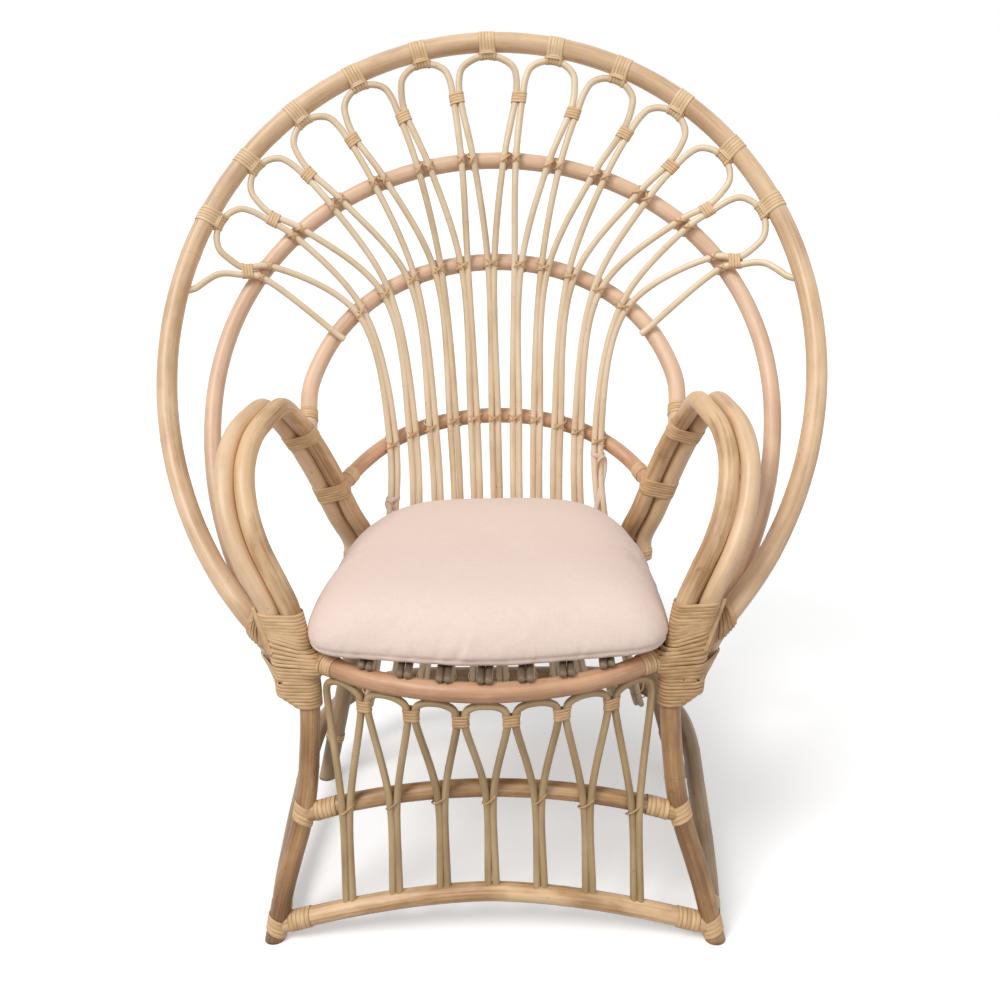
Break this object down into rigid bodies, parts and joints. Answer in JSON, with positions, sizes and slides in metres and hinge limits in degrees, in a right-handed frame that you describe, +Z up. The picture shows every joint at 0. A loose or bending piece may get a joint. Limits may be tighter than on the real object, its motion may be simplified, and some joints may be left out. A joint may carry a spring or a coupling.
{
  "type": "peacock chair",
  "caption": "High-backed rattan armchair with a round fan of looped canes, paired arm poles, an apron of looped canes under the seat and a loose cushion.",
  "frame": {"origin": "middle of the chair's box on the floor, midway between its front and its back", "axes": "+Z up, -Y towards the front of the chair, +X to the right as seen from in front of it"},
  "size_m": [1.0418, 0.6988, 1.2733],
  "materials": {
    "pole_golden": "lacquered rattan pole, golden beige with darker streaks and joints",
    "pole_pink": "lacquered rattan pole, pinkish beige",
    "pole_reddish": "lacquered rattan pole, reddish tan",
    "pole_brown": "lacquered rattan pole, golden brown",
    "pole_grey": "lacquered rattan pole, greyish beige",
    "cane_cream": "thin rattan cane, cream",
    "cane_green": "thin rattan cane, greenish beige",
    "cane_dark": "thin rattan cane, greyish brown",
    "strand": "flat peel of rattan, straw coloured",
    "cotton": "pale dusty pink cotton"
  },
  "bodies": {
    "chair_frame": {"outer_hoop": "pole_golden", "middle_hoop": "pole_pink", "inner_hoop": "pole_pink", "lower_back_rail": "pole_pink", "front_leg_and_arm_left": "pole_brown", "front_leg_and_arm_right": "pole_brown", "outer_arm_left": "pole_golden", "outer_arm_right": "pole_golden", "front_seat_rail": "pole_reddish", "seat_ring": "pole_grey", "front_mid_rail": "pole_brown", "front_bottom_rail": "pole_brown", "base_ring": "pole_grey", "rear_leg_left": "pole_grey", "rear_leg_right": "pole_grey", "back_loop_01": "cane_cream", "back_loop_02": "cane_cream", "back_loop_03": "cane_cream", "back_loop_04": "cane_cream", "back_loop_05": "cane_cream", "back_loop_06": "cane_cream", "back_loop_07": "cane_cream", "back_loop_08": "cane_cream", "back_loop_09": "cane_cream", "back_loop_10": "cane_cream", "back_loop_11": "cane_cream", "back_half_loop_left": "cane_cream", "back_half_loop_right": "cane_cream", "hoop_binding_01": "strand", "hoop_binding_02": "strand", "hoop_binding_03": "strand", "hoop_binding_04": "strand", "hoop_binding_05": "strand", "hoop_binding_06": "strand", "hoop_binding_07": "strand", "hoop_binding_08": "strand", "hoop_binding_09": "strand", "hoop_binding_10": "strand", "hoop_binding_11": "strand", "apron_loop_01": "cane_green", "apron_loop_02": "cane_green", "apron_loop_03": "cane_green", "apron_loop_04": "cane_green", "apron_loop_05": "cane_green", "apron_loop_06": "cane_green", "apron_loop_07": "cane_green", "seat_deck": "cane_dark", "junction_winding_left": "strand", "junction_winding_right": "strand"},
    "seat_cushion": {"cushion": "cotton"}
  },
  "joints": [
    {"name": "cushion_lift", "type": "slide", "parent": "chair_frame", "child": "seat_cushion", "axis": [0, 0, 1], "range_m": [0, 0.35]}
  ]
}
